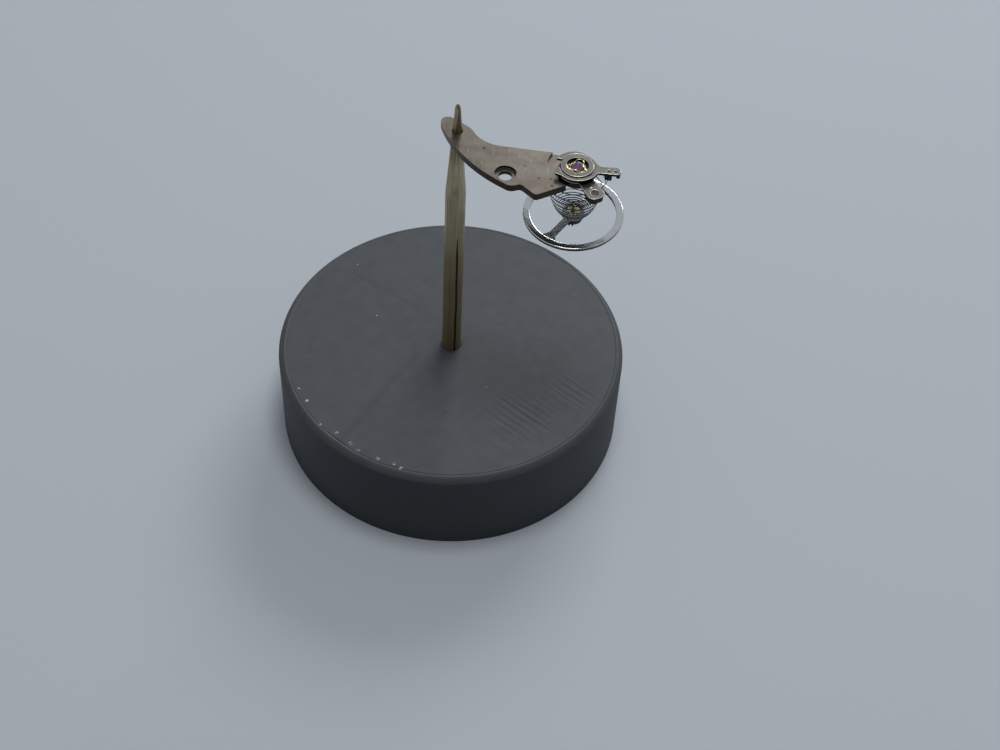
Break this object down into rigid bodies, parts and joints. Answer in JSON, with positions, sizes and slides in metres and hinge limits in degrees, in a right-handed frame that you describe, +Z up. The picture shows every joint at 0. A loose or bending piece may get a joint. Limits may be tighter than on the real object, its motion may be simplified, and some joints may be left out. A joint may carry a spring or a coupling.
{
  "type": "balance tack",
  "caption": "Round printed base with a pointed brass post; a watch balance cock hangs on the point by a hole in its tail, with the balance hanging below on its stretched hairspring.",
  "frame": {"origin": "centre of the base's underside, on the table", "axes": "+Z up along the post; +X towards the balance side, -Y towards the viewer of the picture"},
  "size_m": [0.03, 0.03, 0.0356],
  "materials": {
    "printed_plastic": "fused layers, matt top, fine rings round the side",
    "post_brass": "turned, dulled",
    "nickel_plate": "nickel plated brass, worn matt",
    "ground_steel": "flat ground, bright edges",
    "gilt_brass": "gilt, bright",
    "ruby": "polished synthetic ruby",
    "dark_steel": "hardened and blackened",
    "spring_alloy": "rolled strip, polished",
    "wheel_nickel": "nickel alloy, turned and polished"
  },
  "bodies": {
    "stand": {"base": "printed_plastic", "post": "post_brass"},
    "cock": {"cock_plate": "nickel_plate", "setting_block": "ground_steel", "shock_spring": "gilt_brass"},
    "shock_jewel": {"chaton": "gilt_brass", "hole_jewel": "ruby", "cap_jewel": "ruby"},
    "regulator": {"regulator": "ground_steel", "regulator_boot": "dark_steel", "curb_pin": "ground_steel"},
    "stud_carrier": {"stud_carrier": "ground_steel", "stud": "dark_steel", "stud_screw": "dark_steel"},
    "spring": {"hairspring": "spring_alloy"},
    "balance": {"collet": "gilt_brass", "balance_wheel": "wheel_nickel", "balance_staff": "ground_steel", "roller_table": "ground_steel", "safety_roller": "ground_steel", "impulse_jewel": "ruby"}
  },
  "joints": [
    {"name": "cock_swivel", "type": "hinge", "parent": "stand", "child": "cock", "pos_m": [0.00015, 0, 0.0324], "axis": [0.0061, 0, 1], "continuous": true},
    {"name": "jewel_shock", "type": "slide", "parent": "cock", "child": "shock_jewel", "axis": [0, 0, 1], "range_m": [0, 0.00008], "stiffness_N_per_m": 20, "springref_m": -0.0002, "deforming": ["shock_spring"]},
    {"name": "regulator_turn", "type": "hinge", "parent": "cock", "child": "regulator", "pos_m": [0.00929, -0.00374, 0.03293], "axis": [0, 0, 1], "range_deg": [-20, 12]},
    {"name": "stud_carrier_turn", "type": "hinge", "parent": "cock", "child": "stud_carrier", "pos_m": [0.00929, -0.00374, 0.0333], "axis": [0, 0, 1], "range_deg": [-8, 15]},
    {"name": "balance_bob", "type": "slide", "parent": "stud_carrier", "child": "spring", "axis": [0, 0, 1], "range_m": [-0.0015, 0.0025], "stiffness_N_per_m": 0.108, "springref_m": 0.00396, "deforming": ["hairspring"]},
    {"name": "balance_swing", "type": "hinge", "parent": "spring", "child": "balance", "pos_m": [0.00929, -0.00374, 0.02877], "axis": [-0.0209, -0.0523, 0.9984], "range_deg": [-270, 270], "stiffness_Nm_per_rad": 0.000000143}
  ]
}
